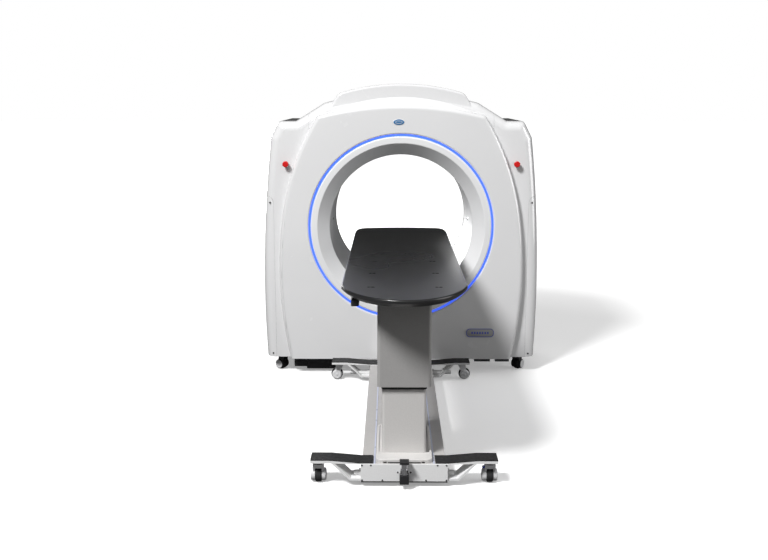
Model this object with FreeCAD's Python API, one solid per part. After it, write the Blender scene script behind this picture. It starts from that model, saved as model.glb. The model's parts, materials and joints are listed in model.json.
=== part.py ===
"""Mobile large-bore CT scanner with its cantilevered patient table.

Row frame in millimetres: +X to the right seen from the table end, +Y from the table
through the bore, +Z up. While the pieces are drawn, Y = 0 is the gantry's front face and
Z = 0 the floor; export moves the whole machine along Y so that the origin is the middle
of its footprint. The gantry is a steel frame carrying a ring bearing and a rotor with the
X-ray tube and detectors, closed by moulded covers. The table is a floor beam on castors
with a travelling telescopic column and a long tabletop.
"""

import FreeCAD, Part
import math
import os
from FreeCAD import Vector as V

# ---------------------------------------------------------------- driving dimensions
clearance = 0.3          # gap between fitted pieces
seam = 0.8               # visible joint between neighbouring covers
wall = 6.0               # thickness of the moulded covers

# gantry envelope
gantry_depth = 940.0     # front face to rear face
panel_depth = 56.0       # how far the front and rear covers stand proud of the case
ground_gap = 111.0       # floor to the lower edge of the covers
foot_half = 896.0        # half width of the case at the floor line
waist_half, waist_z = 915.0, 640.0
shoulder_half, shoulder_z = 855.0, 1580.0
shoulder_top = 1688.0
chamfer_half = 800.0     # where the shoulder chamfer would meet the shoulder top
slope_foot_half = 686.0
slope_top_half, slope_top_z = 500.0, 1803.0
roof_z = 1870.0
case_edge_r = 62.0       # rounding of the case's front and rear edges
shoulder_r, chamfer_r, slope_r = 60.0, 35.0, 15.0   # corners of the case outline

# front and rear covers, seen from the front
face_top_half, face_top_z = 523.0, 1699.0
face_crown_z = 1763.0
face_high_half, face_high_z = 656.0, 1430.0
face_mid_half, face_mid_z = 740.0, 1136.0
face_low_half, face_low_z = 777.0, 660.0
face_foot_half = 683.0
bevel = 28.0             # width of the rounded band round the cover's face
lap = 10.0               # how far the case reaches inside the cover's bevel

# raised crown on the roof
crown_start = 60.0       # behind the front face
crown_base_half, crown_base_z = 540.0, 1650.0
crown_corner_half, crown_corner_z = 407.0, 1865.0
crown_top_z = 1925.0
crown_corner_r = 60.0
crown_edge_r = 16.0
brow_start = 30.0        # sloped brow between the cover and the crown
brow_half, brow_end_z = 500.0, 1730.0
brow_front_z, brow_back_z = 1788.0, 1841.0

# bore
bore_z = 1000.0
bore_r = 472.0
mouth_r = 549.0
mouth_depth = 82.0
trim_length = 100.0
trim_wall = 5.0
light_inner_r, light_outer_r = 593.0, 606.3
light_recess, light_thick = 8.0, 14.0
lip_r = 12.0
liner_wall = 5.0
liner_step = 2.0         # liner radius beyond the trim's bore

# service panels at the lower corners
service_half = 839.0
service_top = 1200.0
service_corner_r = 45.0
service_screw_x, service_screw_r = 862.0, 5.5
service_screw_top, service_screw_low = 1158.0, 135.0

# roof split
roof_split_half, roof_split_z = 600.0, 1640.0

# gantry structure
deck_z, deck_thick = 115.0, 30.0
beam_half, beam_width, beam_height = 640.0, 60.0, 50.0
frame_y, frame_thick = 470.0, 50.0
frame_half, frame_top_half, frame_top_z = 780.0, 420.0, 1800.0
frame_shoulder_z = 1560.0
battery_inner, battery_outer, battery_wide = 430.0, 725.0, 210.0
battery_rear, battery_low = 640.0, 16.0
bracket_spans = ((501.0, 608.0), (643.0, 738.0))   # lifting brackets under the right front
bracket_y, bracket_depth, bracket_low, bracket_thick, bracket_end = 72.0, 40.0, 74.0, 12.0, 28.0
bearing_outer_r, bearing_inner_r = 640.0, 600.0
bearing_inset = 2.0

# rotor
rotor_inner_r, rotor_outer_r = 500.0, 800.0
drum_y, drum_thick = 400.0, 30.0
hub_inner_r = 555.0
hub_end = 525.0
slip_inner_r, slip_outer_r, slip_thick = 515.0, 590.0, 35.0
tube_orbit, tube_r, tube_length = 640.0, 85.0, 230.0
detector_inner_r, detector_outer_r, detector_half_deg = 690.0, 765.0, 38.0
detector_length = 250.0
pack_inner_r, pack_outer_r, pack_length = 590.0, 775.0, 240.0

# belt drive
belt_thick, belt_width = 5.0, 24.0
pulley_r = 55.0
motor_x, motor_z = 690.0, 290.0
motor_r, motor_length, shaft_r = 80.0, 190.0, 14.0

# emergency stops
stop_x, stop_z = 752.0, 1412.0
stop_collar_r, stop_collar_length = 17.0, 12.0
stop_head_r, stop_stem_r = 20.0, 10.5
stop_travel = 5.0
stop_reach = 42.0        # button face to the cover it is mounted on

# castors, the same for gantry and table
wheel_r, wheel_width = 37.5, 30.0
axle_r = 6.0
fork_width, fork_arm = 52.0, 9.0
fork_end_r = 14.0
disc_r, disc_thick = 31.0, 10.0      # round covers over the axle ends
castor_trail = 22.0
kingpin_r, kingpin_length = 8.0, 10.0
swivel_r, swivel_foot_r, swivel_height = 31.0, 25.0, 14.0

# gantry castor places
gantry_castor_x = 797.0
gantry_castor_front, gantry_castor_rear = 150.0, 790.0

# table floor beam
table_front = -1877.0    # front edge of the front arms
beam_end_gap = 54.0      # rear arms to the gantry's front face
arm_depth = 105.0
arm_half = 452.0
arm_thick = 13.0
arm_outer_z, arm_inner_z = 129.0, 116.0
arm_flat_half, arm_bend_half, arm_root_half = 355.0, 208.0, 150.0
brace_low_half, brace_top_half, brace_z = 262.0, 345.0, 30.0
brace_thick = 10.0
cross_tube_r, cross_collar_r, cross_collar_length = 13.0, 20.0, 16.0
front_tube_end, rear_tube_end = 244.0, 332.0
pad_thick = 4.0
base_half, base_bottom, base_top = 202.5, 26.0, 108.0
base_sheet = 4.0
deck_sheet = 4.0
end_plate_half, end_plate_thick, end_plate_top = 209.0, 8.0, 116.0
end_plate_low, sill_low = 30.0, 24.0
strip_at, strip_width, strip_height = 143.0, 8.0, 6.0
table_castor_x, table_rear_castor_x = 417.0, 400.0
table_rear_castor_back = 28.0   # rear castor pins to the rear arms' back edge

# travelling column
rail_at, rail_width, rail_height = 92.0, 16.0, 10.0
rail_inset = 40.0        # rail ends to the beam ends
carriage_half, carriage_length = 137.0, 510.0
carriage_front_gap = 12.0
carriage_thick, carriage_rim, carriage_rim_width = 14.0, 7.0, 13.0
carriage_corner_r = 32.0
column_half, column_depth = 107.5, 250.0
column_set_back = 90.0   # carriage edge to the column's front
column_wall, column_corner_r = 5.0, 14.0
column_top = 640.0
sleeve_half, sleeve_depth = 130.0, 292.0
sleeve_bottom, sleeve_wall = 473.0, 6.0
lift_down = 220.0        # how far the tabletop can sink from its rest height
actuator_r, rod_r = 32.0, 14.0

# tabletop
top_z = 957.0
top_half = 305.0
top_thick, top_rim, top_edge_r = 36.0, 18.0, 8.0
top_tip, top_far = -2054.0, 340.0
top_tip_length, top_tip_fullness = 354.0, 220.0
top_nose_corner_r = 80.0
top_far_bow = 28.0
top_far_corner_width, top_far_corner_length = 64.0, 190.0
top_inset = 22.0
rail_x, rail_first, rail_pitch = 162.0, -1755.0, 361.0
frame_rail_width, frame_rail_height = 46.0, 36.0
frame_rail_overhang = 25.0
fixing_r, fixing_pair = 6.0, 10.5

# hand control under the tabletop
pendant_x, pendant_y = -236.0, -1795.0
pendant_width, pendant_length, pendant_height = 38.0, 96.0, 34.0

# floor lock
lock_half, lock_foot_z, lock_foot_top = 22.5, 32.0, 74.0
lock_pedal_z, lock_pedal_thick = 134.0, 11.0
lock_barrel_r, lock_rod_r = 19.0, 15.5
lock_travel = 30.0

table_rear = -beam_end_gap
origin_y = (top_tip + gantry_depth) / 2.0

OUT = "parts"
Y_AXIS, Z_AXIS = V(0, 1, 0), V(0, 0, 1)


# ---------------------------------------------------------------- drawing helpers
def box(x0, x1, y0, y1, z0, z1):
    return Part.makeBox(x1 - x0, y1 - y0, z1 - z0, V(x0, y0, z0))


def rod_y(r, y0, y1, x=0.0, z=bore_z):
    return Part.makeCylinder(r, y1 - y0, V(x, y0, z), Y_AXIS)


def rod_z(r, z0, z1, x, y):
    return Part.makeCylinder(r, z1 - z0, V(x, y, z0), Z_AXIS)


def ring_y(r_in, r_out, y0, y1, x=0.0, z=bore_z):
    return rod_y(r_out, y0, y1, x, z).cut(rod_y(r_in, y0 - 1, y1 + 1, x, z))


def line(a, b):
    return Part.LineSegment(V(*a), V(*b)).toShape()


def arc(a, b, c):
    return Part.Arc(V(*a), V(*b), V(*c)).toShape()


def bezier(*poles):
    curve = Part.BezierCurve()
    curve.setPoles([V(*pole) for pole in poles])
    return curve.toShape()


def face_of(edges):
    return Part.Face(Part.Wire(edges))


def prism_y(points, y0, y1):
    """Prism along Y over a polygon of (x, z) points."""
    corners = [V(x, y0, z) for x, z in points]
    return Part.Face(Part.makePolygon(corners + corners[:1])).extrude(V(0, y1 - y0, 0))


def mirror_x(shape):
    return shape.mirror(V(0, 0, 0), V(1, 0, 0))


def mirror_depth(shape):
    """The same shape at the gantry's other end."""
    return shape.mirror(V(0, gantry_depth / 2.0, 0), Y_AXIS)


def fillet_where(shape, radius, wanted):
    edges = [e for e in shape.Edges if wanted(e)]
    return shape.makeFillet(radius, edges)


def along_y_at(edge, x, z, tol=2.0):
    """True for a straight edge along Y through the point (x, z)."""
    a, b = edge.Vertexes[0].Point, edge.Vertexes[-1].Point
    return (abs(a.x - x) < tol and abs(b.x - x) < tol and abs(a.z - z) < tol
            and abs(b.z - z) < tol and abs(a.y - b.y) > 1.0)


def in_plane_y(edge, y):
    bounds = edge.BoundBox
    return abs(bounds.YMin - y) < 0.01 and abs(bounds.YMax - y) < 0.01


def face_in_plane_y(shape, y):
    """The largest flat face of a shape at this Y."""
    flat = [f for f in shape.Faces
            if abs(f.BoundBox.YMin - y) < 0.01 and abs(f.BoundBox.YMax - y) < 0.01]
    return max(flat, key=lambda f: f.Area)


def offset_face(face, distance):
    return face if distance == 0 else face.makeOffset2D(distance)


def fuse(*shapes):
    joined = shapes[0].fuse(list(shapes[1:])) if len(shapes) > 1 else shapes[0]
    return joined.removeSplitter()


def export(name, *shapes):
    """Writes one node, moved so that the origin is the middle of the footprint."""
    solids = []
    for shape in shapes:
        solids += shape.Solids
    moved = []
    for solid in solids:
        copy = solid.copy()
        copy.translate(V(0, -origin_y, 0))
        moved.append(copy)
    whole = moved[0] if len(moved) == 1 else Part.makeCompound(moved)
    whole.exportStep(os.path.join(OUT, name + ".step"))
    if not all(s.isValid() for s in moved):
        print("not valid:", name)


# ---------------------------------------------------------------- gantry covers
below = -60.0            # outlines run below the covers' lower edge and are cut there
case_front, case_rear = panel_depth, gantry_depth - panel_depth


def case_outline():
    """Flat face of the case's cross-section at its front, with rounded corners."""
    y = case_front
    right = [
        arc((foot_half, y, 0), (waist_half, y, waist_z), (shoulder_half, y, shoulder_z)),
        line((shoulder_half, y, shoulder_z), (chamfer_half, y, shoulder_top)),
        line((chamfer_half, y, shoulder_top), (slope_foot_half, y, shoulder_top)),
        line((slope_foot_half, y, shoulder_top), (slope_top_half, y, slope_top_z)),
    ]
    roof = arc((slope_top_half, y, slope_top_z), (0, y, roof_z), (-slope_top_half, y, slope_top_z))
    floor = line((-foot_half, y, 0), (foot_half, y, 0))
    left = [mirror_x(e) for e in reversed(right)]
    block = face_of(right + [roof] + left + [floor]).extrude(V(0, 100, 0))
    for x, z, r in ((shoulder_half, shoulder_z, shoulder_r), (chamfer_half, shoulder_top, chamfer_r),
                    (slope_foot_half, shoulder_top, slope_r), (slope_top_half, slope_top_z, shoulder_r)):
        block = fillet_where(block, r, lambda e: along_y_at(e, x, z) or along_y_at(e, -x, z))
    return face_in_plane_y(block, y)


def case_block(outline, inset):
    """The case as a solid block, drawn in by inset on every side."""
    face = offset_face(outline, -inset)
    face.translate(V(0, inset, 0))
    block = face.extrude(V(0, case_rear - case_front - 2 * inset, 0))
    ends = (case_front + inset, case_rear - inset)

    def rounded(edge):
        at_end = in_plane_y(edge, ends[0]) or in_plane_y(edge, ends[1])
        return at_end and edge.BoundBox.ZMax > ground_gap

    return fillet_where(block, case_edge_r - inset, rounded)


def crown_block(inset):
    """Raised crown on the roof."""
    y = crown_start + inset
    lean = (crown_base_half - crown_corner_half) / (crown_corner_z - crown_base_z)
    base = crown_base_half - inset * math.hypot(1.0, lean)
    corner = crown_corner_half - inset * (1.0 + lean)
    corner_z = crown_corner_z - inset
    edges = [
        line((base, y, crown_base_z), (corner, y, corner_z)),
        arc((corner, y, corner_z), (0, y, crown_top_z - inset), (-corner, y, corner_z)),
        line((-corner, y, corner_z), (-base, y, crown_base_z)),
        line((-base, y, crown_base_z), (base, y, crown_base_z)),
    ]
    block = face_of(edges).extrude(V(0, gantry_depth - 2 * y, 0))
    block = fillet_where(block, crown_corner_r - inset,
                         lambda e: along_y_at(e, corner, corner_z) or along_y_at(e, -corner, corner_z))
    ends = (y, gantry_depth - y)

    def rounded(edge):
        at_end = in_plane_y(edge, ends[0]) or in_plane_y(edge, ends[1])
        return at_end and edge.BoundBox.ZMax > crown_base_z + 1.0

    return fillet_where(block, crown_edge_r - inset, rounded)


def brow_block(inset):
    """Sloped brow between the front cover's top edge and the crown."""

    def section(y, middle_z):
        low = crown_base_z
        half, end, top = brow_half - inset, brow_end_z - inset, middle_z - inset
        return Part.Wire([
            line((half, y, low), (half, y, end)),
            arc((half, y, end), (0, y, top), (-half, y, end)),
            line((-half, y, end), (-half, y, low)),
            line((-half, y, low), (half, y, low)),
        ])

    back_y = crown_start + wall + 2.0
    rise = (brow_back_z - brow_front_z) / (crown_start - brow_start)
    back_z = brow_front_z + rise * (back_y - brow_start)
    first_y = brow_start + inset
    wires = [section(first_y, brow_front_z + rise * inset), section(back_y, back_z)]
    return Part.makeLoft(wires, True, True)


def cover_face():
    """Flat face of the front cover, from its lower edge to its top arc."""
    right = [
        arc((face_mid_half, 0, face_mid_z), (face_high_half, 0, face_high_z),
            (face_top_half, 0, face_top_z)),
    ]
    low = arc((face_foot_half, 0, 0), (face_low_half, 0, face_low_z), (face_mid_half, 0, face_mid_z))
    top = arc((face_top_half, 0, face_top_z), (0, 0, face_crown_z), (-face_top_half, 0, face_top_z))
    foot = line((-face_foot_half, 0, 0), (face_foot_half, 0, 0))
    return face_of([low] + right + [top] + [mirror_x(e) for e in reversed(right)]
                   + [mirror_x(low), foot])


def cover_block(inset):
    """Front cover as a solid block with its rounded band."""
    base = offset_face(cover_face(), bevel - inset)
    base.translate(V(0, inset, 0))
    block = base.extrude(V(0, panel_depth - inset, 0))

    def rounded(edge):
        return in_plane_y(edge, inset) and edge.BoundBox.ZMax > ground_gap

    return fillet_where(block, bevel - 2.0 - inset, rounded)


below_floor_cut = box(-2000, 2000, -500, gantry_depth + 500, below, ground_gap)


def cover_shell():
    """Front cover: a tray with a rolled lip round the bore mouth and a seat behind the light."""
    tray = cover_block(0).cut(cover_block(wall)).cut(below_floor_cut)
    lip_outer = light_outer_r + lip_r + 1.0
    seat_y = light_recess + light_thick
    lip = ring_y(light_outer_r, lip_outer, 0, seat_y + wall)
    seat = ring_y(light_inner_r - 15.0, lip_outer, seat_y, seat_y + wall)
    tray = tray.cut(rod_y(light_outer_r, -1, wall + 1))
    shell = fuse(tray, lip, seat)

    def mouth_edge(edge):
        is_round = hasattr(edge.Curve, "Radius") and abs(edge.Curve.Radius - light_outer_r) < 0.1
        return is_round and in_plane_y(edge, 0)

    return fillet_where(shell, lip_r, mouth_edge)


def bore_trim(outer_r):
    """Funnel round one mouth of the bore, open at the centre, with a rolled outer edge."""
    edge_r = 10.0
    foot_y = light_recess + light_thick
    k = math.sqrt(0.5)

    def at(r, y):
        return (r, y, bore_z)

    outer_roll = (outer_r - edge_r + edge_r * k, edge_r - edge_r * k)
    inner_r = edge_r - trim_wall
    inner_roll = (outer_r - edge_r + inner_r * k, edge_r - inner_r * k)
    slope = math.hypot(mouth_r - bore_r, mouth_depth)
    shift = trim_wall * slope / mouth_depth
    edges = [
        line(at(outer_r, foot_y), at(outer_r, edge_r)),
        arc(at(outer_r, edge_r), at(*outer_roll), at(outer_r - edge_r, 0)),
        line(at(outer_r - edge_r, 0), at(mouth_r, 0)),
        line(at(mouth_r, 0), at(bore_r, mouth_depth)),
        line(at(bore_r, mouth_depth), at(bore_r, trim_length)),
        line(at(bore_r, trim_length), at(bore_r + trim_wall, trim_length)),
        line(at(bore_r + trim_wall, trim_length), at(bore_r + shift, mouth_depth)),
        line(at(bore_r + shift, mouth_depth), at(mouth_r + shift - trim_wall * 0.9, trim_wall)),
        line(at(mouth_r + shift - trim_wall * 0.9, trim_wall), at(outer_r - edge_r, trim_wall)),
        arc(at(outer_r - edge_r, trim_wall), at(*inner_roll), at(outer_r - trim_wall, edge_r)),
        line(at(outer_r - trim_wall, edge_r), at(outer_r - trim_wall, foot_y)),
        line(at(outer_r - trim_wall, foot_y), at(outer_r, foot_y)),
    ]
    trim = face_of(edges).revolve(V(0, 0, bore_z), Y_AXIS, 360)
    for r, y, radius in ((mouth_r, 0, 7.0), (bore_r, mouth_depth, 9.0)):
        trim = fillet_where(trim, radius, lambda e: in_plane_y(e, y)
                            and hasattr(e.Curve, "Radius") and abs(e.Curve.Radius - r) < 0.1)
    return trim


def service_region(gap):
    """Block that takes one lower corner of the case, over its whole depth."""
    inner, top = service_half + gap, service_top - gap
    block = box(inner, 1200, -100, gantry_depth + 100, below, top)
    return fillet_where(block, service_corner_r, lambda e: along_y_at(e, inner, top))


def service_screws(radius, extra):
    """Screws of the right-hand service panel at both ends, lengthened by extra each way."""
    into_edge = service_screw_x - waist_half + case_edge_r
    start = case_front + case_edge_r - math.sqrt(case_edge_r ** 2 - into_edge ** 2) - 1.0
    rods = [rod_y(radius, start - extra, start + 3 * wall + extra, service_screw_x, z)
            for z in (service_screw_low, service_screw_top)]
    return rods + [mirror_depth(r) for r in rods]


def build_covers():
    outline = case_outline()
    outer = case_block(outline, 0)
    inner = case_block(outline, wall)
    brow, brow_in = brow_block(0), brow_block(wall)
    raised = crown_block(0).fuse([brow, mirror_depth(brow)])
    hollow = crown_block(wall).fuse([brow_in, mirror_depth(brow_in)])
    case = outer.fuse(raised).cut(inner).cut(hollow).cut(below_floor_cut)
    panel_hole = offset_face(cover_face(), -lap).extrude(V(0, gantry_depth, 0))
    ends = box(-1200, 1200, -10, case_front + case_edge_r, below, 1800)
    ends = ends.fuse(mirror_depth(ends))
    case = case.cut(panel_hole.common(ends))
    room = cover_block(0)
    case = case.cut(room).cut(mirror_depth(room))

    roof_zone = box(-roof_split_half, roof_split_half, -100, 1100, roof_split_z, 2200)
    roof_gap = box(-roof_split_half - seam, roof_split_half + seam, -100, 1100,
                   roof_split_z - seam, 2200)
    top_cover = case.common(roof_zone)
    rest = case.cut(roof_gap)

    half_space = box(0, 1500, -100, 1100, below, 2200)
    right = rest.common(half_space)
    screws = service_screws(service_screw_r, 0.0)
    right = right.cut(service_screws(service_screw_r + clearance, 20.0))
    service = right.common(service_region(seam / 2))
    side = right.cut(service_region(-seam / 2))

    front = cover_shell()
    export("front_cover", front)
    export("rear_cover", mirror_depth(front))
    export("top_cover", top_cover)
    export("right_side_cover", side)
    export("left_side_cover", mirror_x(side))
    export("service_panels", service, mirror_x(service))
    export("panel_screws", *(screws + [mirror_x(s) for s in screws]))


def build_bore():
    export("front_bore_trim", bore_trim(light_inner_r))
    export("rear_bore_trim", mirror_depth(bore_trim(light_outer_r - clearance)))
    export("light_ring", ring_y(light_inner_r + clearance, light_outer_r - clearance,
                                light_recess, light_recess + light_thick))
    liner_r = bore_r + liner_step
    export("bore_liner", ring_y(liner_r, liner_r + liner_wall, trim_length,
                                gantry_depth - trim_length))


# ---------------------------------------------------------------- gantry structure
def lifting_brackets():
    """Shallow steel channels welded under the right front of the deck."""
    brackets = []
    for x0, x1 in bracket_spans:
        channel = box(x0, x1, bracket_y, bracket_y + bracket_depth, bracket_low, deck_z)
        hollow = box(x0 + bracket_end, x1 - bracket_end, bracket_y - 1, bracket_y + bracket_depth + 1,
                     bracket_low + bracket_thick, deck_z)
        brackets.append(channel.cut(hollow))
    return brackets


def build_structure():
    deck_face = offset_face(case_outline(), -wall - clearance)
    deck = deck_face.extrude(V(0, gantry_depth, 0))
    deck = deck.common(box(-1200, 1200, case_front + wall + clearance,
                           case_rear - wall - clearance, deck_z, deck_z + deck_thick))
    rim = case_edge_r
    deck = fillet_where(deck, rim, lambda e: abs(e.Vertexes[0].Z - e.Vertexes[-1].Z) > 20
                        and abs(e.Vertexes[0].X) > 800)
    floor_z = deck_z + deck_thick
    pieces = [deck]
    for x in (-beam_half - beam_width, beam_half):
        for y0, y1 in ((120.0, frame_y), (frame_y + frame_thick, 820.0)):
            pieces.append(box(x, x + beam_width, y0, y1, floor_z, floor_z + beam_height))
    pieces += lifting_brackets()
    base = fuse(*pieces)
    pins = []
    for x in (-gantry_castor_x, gantry_castor_x):
        for y in (gantry_castor_front, gantry_castor_rear):
            pins.append(rod_z(kingpin_r + clearance, deck_z - 1,
                              deck_z + kingpin_length + clearance, x, y))
    screw_holes = service_screws(service_screw_r + clearance, 20.0)
    base = base.cut(pins + screw_holes + [mirror_x(h) for h in screw_holes])

    outline = [(frame_half, floor_z), (frame_half, frame_shoulder_z),
               (frame_top_half, frame_top_z), (-frame_top_half, frame_top_z),
               (-frame_half, frame_shoulder_z), (-frame_half, floor_z)]
    plate = prism_y(outline, frame_y, frame_y + frame_thick)
    plate = plate.cut(rod_y(bearing_outer_r + clearance, 0, gantry_depth))
    plate = plate.cut(rod_y(shaft_r + 2 * clearance, 0, gantry_depth, motor_x, motor_z))
    window_z = floor_z + 90.0
    for x in (-520.0, 300.0):
        window = box(x, x + 220, frame_y - 1, frame_y + frame_thick + 1, floor_z + 40, window_z + 70)
        plate = plate.cut(window)
    export("gantry_frame", fuse(base, plate))

    export("bearing_ring", ring_y(bearing_inner_r, bearing_outer_r, frame_y + bearing_inset,
                                  frame_y + frame_thick - bearing_inset))

    back = frame_y + frame_thick
    cabinets = [box(-790, -530, back, back + 260, 200, 640),
                box(530, 790, back, back + 260, 390, 700)]
    export("electronics_cabinets", *cabinets)
    step = battery_outer - battery_inner - battery_wide
    wide = box(-battery_outer + step, -battery_inner, case_front + 40, battery_rear, battery_low, deck_z)
    narrow = box(-battery_outer, -battery_outer + step + 1, case_front + 48, battery_rear,
                 battery_low + 13, deck_z)
    upright = fillet_where(wide, 8.0, lambda e: abs(e.Vertexes[0].Z - e.Vertexes[-1].Z) > 20)
    export("battery_box", fuse(upright, narrow))


def arc_block(r_in, r_out, y0, y1, start_deg, end_deg):
    """Block between two radii round the bore, from one angle to another above +X."""
    a, b = math.radians(start_deg), math.radians(end_deg)
    middle = (a + b) / 2.0

    def at(r, t):
        return (r * math.cos(t), y0, bore_z + r * math.sin(t))

    edges = [line(at(r_in, a), at(r_out, a)),
             arc(at(r_out, a), at(r_out, middle), at(r_out, b)),
             line(at(r_out, b), at(r_in, b)),
             arc(at(r_in, b), at(r_in, middle), at(r_in, a))]
    return face_of(edges).extrude(V(0, y1 - y0, 0))


def build_rotor():
    disc = ring_y(rotor_inner_r, rotor_outer_r, drum_y, drum_y + drum_thick)
    hub = ring_y(hub_inner_r, bearing_inner_r - clearance, drum_y + drum_thick, hub_end)
    export("rotor_drum", fuse(disc, hub))
    export("slip_ring", ring_y(slip_inner_r, slip_outer_r, hub_end, hub_end + slip_thick))

    tube_z = bore_z + tube_orbit
    tube = rod_y(tube_r, drum_y - tube_length, drum_y, 0, tube_z)
    cap = rod_y(tube_r * 0.7, drum_y - tube_length - 30, drum_y - tube_length, 0, tube_z)
    export("xray_tube", fuse(tube, cap))
    collimator_top = tube_z - tube_r - clearance
    collimator = box(-90, 90, drum_y - 180, drum_y, bore_z + rotor_inner_r + 8, collimator_top)
    export("collimator", collimator)

    down = 270.0
    export("detector_array", arc_block(detector_inner_r, detector_outer_r,
                                       drum_y - detector_length, drum_y,
                                       down - detector_half_deg, down + detector_half_deg))
    generator = arc_block(pack_inner_r, pack_outer_r, drum_y - pack_length, drum_y, 158, 202)
    export("tube_supply_packs", generator, mirror_x(generator))


def belt_loop(big_r, small_r):
    """Flat region inside a belt round the rotor and the motor pulley."""
    dx, dz = motor_x, motor_z - bore_z
    span = math.hypot(dx, dz)
    heading = math.atan2(dz, dx)
    lead = math.acos((big_r - small_r) / span)
    y = drum_y + (drum_thick - belt_width) / 2.0

    def at(cx, cz, r, t):
        return (cx + r * math.cos(t), y, cz + r * math.sin(t))

    a, b = heading + lead, heading - lead
    edges = [
        arc(at(0, bore_z, big_r, a), at(0, bore_z, big_r, heading + math.pi), at(0, bore_z, big_r, b)),
        line(at(0, bore_z, big_r, b), at(motor_x, motor_z, small_r, b)),
        arc(at(motor_x, motor_z, small_r, b), at(motor_x, motor_z, small_r, heading),
            at(motor_x, motor_z, small_r, a)),
        line(at(motor_x, motor_z, small_r, a), at(0, bore_z, big_r, a)),
    ]
    return face_of(edges)


def build_drive():
    inside = belt_loop(rotor_outer_r + clearance, pulley_r + clearance)
    outside = belt_loop(rotor_outer_r + clearance + belt_thick, pulley_r + clearance + belt_thick)
    belt = outside.extrude(V(0, belt_width, 0)).cut(inside.extrude(V(0, belt_width, 0)))
    export("drive_belt", belt)
    back = frame_y + frame_thick
    motor = rod_y(motor_r, back, back + motor_length, motor_x, motor_z)
    depth = 60.0
    motor = motor.cut(rod_y(shaft_r + clearance, back - 1, back + depth, motor_x, motor_z))
    export("drive_motor", motor)
    pulley = rod_y(pulley_r, drum_y, drum_y + drum_thick, motor_x, motor_z)
    shaft = rod_y(shaft_r, drum_y - 5, back + depth - clearance, motor_x, motor_z)
    export("motor_pulley", fuse(pulley, shaft))


def build_stops():
    collar_front = case_front - stop_collar_length
    hole_end = case_front
    collar = rod_y(stop_collar_r, collar_front, hole_end, stop_x, stop_z)
    collar = collar.cut(rod_y(stop_stem_r + clearance, collar_front - 1, hole_end + 1, stop_x, stop_z))
    export("stop_collars", collar, mirror_x(collar))
    face = case_front - stop_reach
    head = rod_y(stop_head_r, face, face + 16.0, stop_x, stop_z)
    head = fillet_where(head, 6.0, lambda e: in_plane_y(e, face))
    stem = rod_y(stop_stem_r, face + 16.0, case_front - stop_travel - 1.0, stop_x, stop_z)
    button = fuse(head, stem)
    export("right_stop_button", button)
    export("left_stop_button", mirror_x(button))


# ---------------------------------------------------------------- castors
def rod_x(r, x0, x1, y, z):
    return Part.makeCylinder(r, x1 - x0, V(x0, y, z), V(1, 0, 0))


def castor(x, y, under, turn):
    """Fork and wheel of one castor under a face at height under, trailing towards +Y turned by turn."""
    wheel_y = castor_trail
    side = fork_width / 2.0
    swivel_top = under - clearance
    fork_top = swivel_top - swivel_height
    top_front, top_rear = -swivel_foot_r + 4.0, wheel_y + 8.0
    edges = [line((0, top_front, fork_top), (0, top_rear, fork_top)),
             line((0, top_rear, fork_top), (0, wheel_y + fork_end_r, wheel_r)),
             line((0, wheel_y + fork_end_r, wheel_r), (0, wheel_y - fork_end_r, wheel_r)),
             line((0, wheel_y - fork_end_r, wheel_r), (0, top_front, fork_top))]
    fork = face_of(edges).extrude(V(fork_width, 0, 0))
    fork.translate(V(-side, 0, 0))
    discs = rod_x(disc_r, -side - disc_thick, side + disc_thick, wheel_y, wheel_r)
    rims = [e for e in discs.Edges if hasattr(e.Curve, "Radius")]
    discs = discs.makeChamfer(3.0, rims)
    swivel = Part.makeCone(swivel_foot_r, swivel_r, swivel_height, V(0, 0, fork_top))
    pin = rod_z(kingpin_r, swivel_top, swivel_top + kingpin_length, 0, 0)
    body = fork.fuse([discs, swivel, pin])
    gap = side - fork_arm
    reach = wheel_r + 20.0
    body = body.cut(box(-gap, gap, wheel_y - reach, wheel_y + reach, 0, 2 * wheel_r + 2.0))
    body = body.cut(rod_x(axle_r + clearance, -side - disc_thick - 1, side + disc_thick + 1,
                          wheel_y, wheel_r)).removeSplitter()

    tyre = rod_x(wheel_r, -wheel_width / 2.0, wheel_width / 2.0, wheel_y, wheel_r)
    tyre = tyre.makeFillet(5.0, [e for e in tyre.Edges if hasattr(e.Curve, "Radius")])
    axle = rod_x(axle_r, -side - disc_thick + 1, side + disc_thick - 1, wheel_y, wheel_r)
    wheel = tyre.fuse(axle)
    placed = []
    for shape in (body, wheel):
        shape = shape.copy()
        shape.rotate(V(0, 0, 0), Z_AXIS, turn)
        shape.translate(V(x, y, 0))
        placed.append(shape)
    return placed


# name, x, y, top face, turn of the trailing wheel about Z at rest
gantry_castors = [
    ("gantry_front_left", -gantry_castor_x, gantry_castor_front, deck_z, 55.0),
    ("gantry_front_right", gantry_castor_x, gantry_castor_front, deck_z, -35.0),
    ("gantry_rear_left", -gantry_castor_x, gantry_castor_rear, deck_z, 20.0),
    ("gantry_rear_right", gantry_castor_x, gantry_castor_rear, deck_z, -20.0),
]
arm_under = arm_outer_z - arm_thick
arm_middle = arm_depth / 2.0
table_castors = [
    ("table_front_left", -table_castor_x, table_front + arm_middle - 8, arm_under, 0.0),
    ("table_front_right", table_castor_x, table_front + arm_middle - 8, arm_under, 0.0),
    ("table_rear_left", -table_rear_castor_x, table_rear - table_rear_castor_back, arm_under, 90.0),
    ("table_rear_right", table_rear_castor_x, table_rear - table_rear_castor_back, arm_under, -90.0),
]


def build_castors():
    for name, x, y, top, turn in gantry_castors + table_castors:
        body, wheel = castor(x, y, top, turn)
        export(name + "_castor", body)
        export(name + "_wheel", wheel)


# ---------------------------------------------------------------- table floor beam
deck_top = base_top + deck_sheet


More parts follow.
